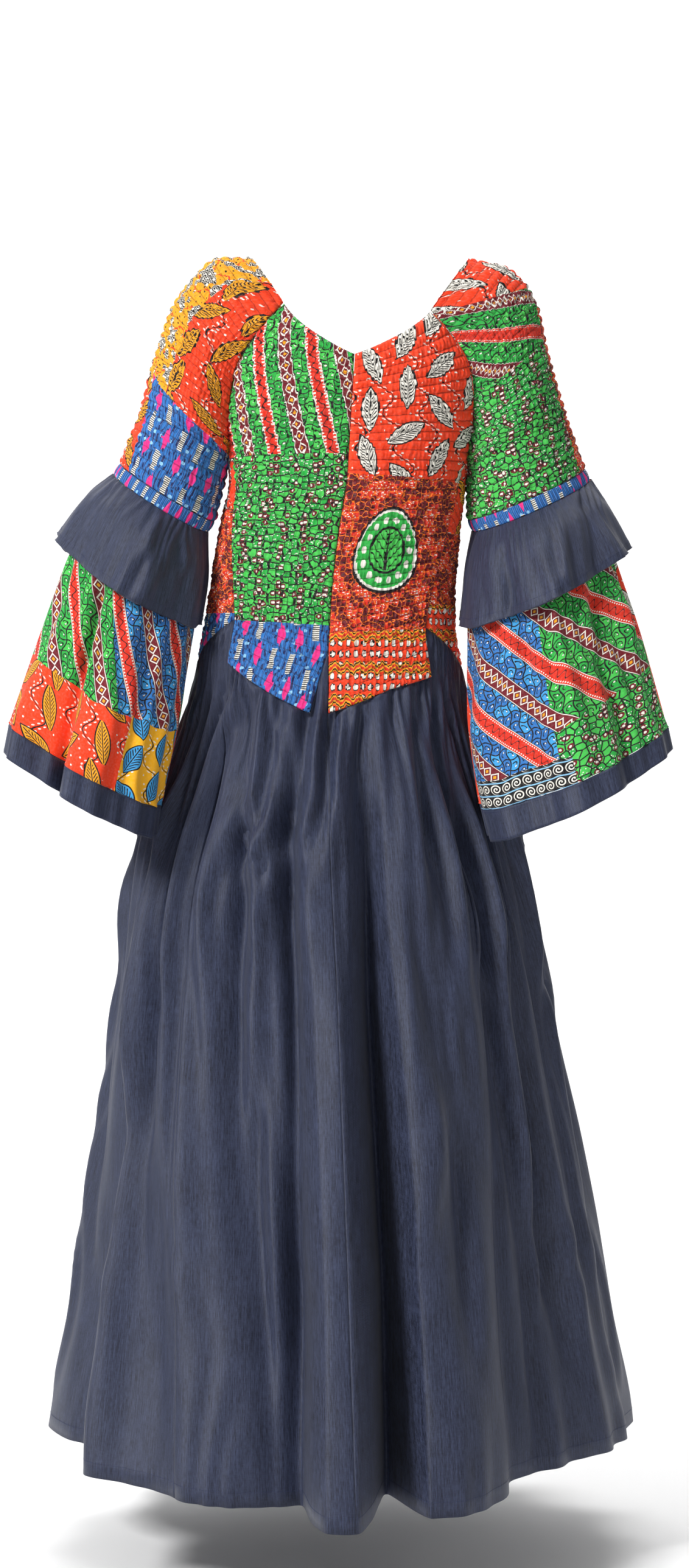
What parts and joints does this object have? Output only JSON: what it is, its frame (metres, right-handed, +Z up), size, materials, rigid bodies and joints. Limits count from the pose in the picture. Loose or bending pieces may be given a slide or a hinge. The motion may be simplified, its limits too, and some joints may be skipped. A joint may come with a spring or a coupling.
{
  "type": "peasant dress",
  "caption": "Long-sleeved maxi dress in its worn shape: smocked raglan bodice with V neck front and back, two-tier bell sleeves and a full gathered skirt, hollow and open at neck, cuffs and hem.",
  "frame": {"origin": "midway between the tops of the two shoulders, where the wearer carries the dress", "axes": "+Z up, -Y towards the front of the dress, +Y its back, +X the wearer's left"},
  "size_m": [0.7811, 0.7584, 1.4266],
  "materials": {
    "wax_print_smocked": "printed cotton, gathered on elastic smocking rows, in patches of green, orange-red, blue and yellow",
    "wax_print_plain": "printed cotton, smooth and matt, in patches of green, blue and orange with diagonal bands",
    "chambray_denim": "light navy denim with pale heathered warp threads and a soft sheen"
  },
  "bodies": {
    "root": {"bodice_back_left": "wax_print_smocked", "bodice_back_right": "wax_print_smocked", "bodice_front_left": "wax_print_smocked", "bodice_front_right": "wax_print_smocked", "bodice_side_left": "wax_print_smocked", "bodice_side_right": "wax_print_smocked", "upper_sleeve_left": "wax_print_smocked", "upper_sleeve_right": "wax_print_smocked", "sleeve_band_left": "wax_print_smocked", "sleeve_band_right": "wax_print_smocked", "sleeve_ruffle_left": "chambray_denim", "sleeve_ruffle_right": "chambray_denim", "sleeve_bell_left": "wax_print_plain", "sleeve_bell_right": "wax_print_plain", "bell_band_left": "chambray_denim", "bell_band_right": "chambray_denim", "skirt_gore_side_left": "chambray_denim", "skirt_gore_back_left": "chambray_denim", "skirt_gore_back_right": "chambray_denim", "skirt_gore_side_right": "chambray_denim", "skirt_gore_front_right": "chambray_denim", "skirt_gore_front_left": "chambray_denim"}
  },
  "joints": []
}
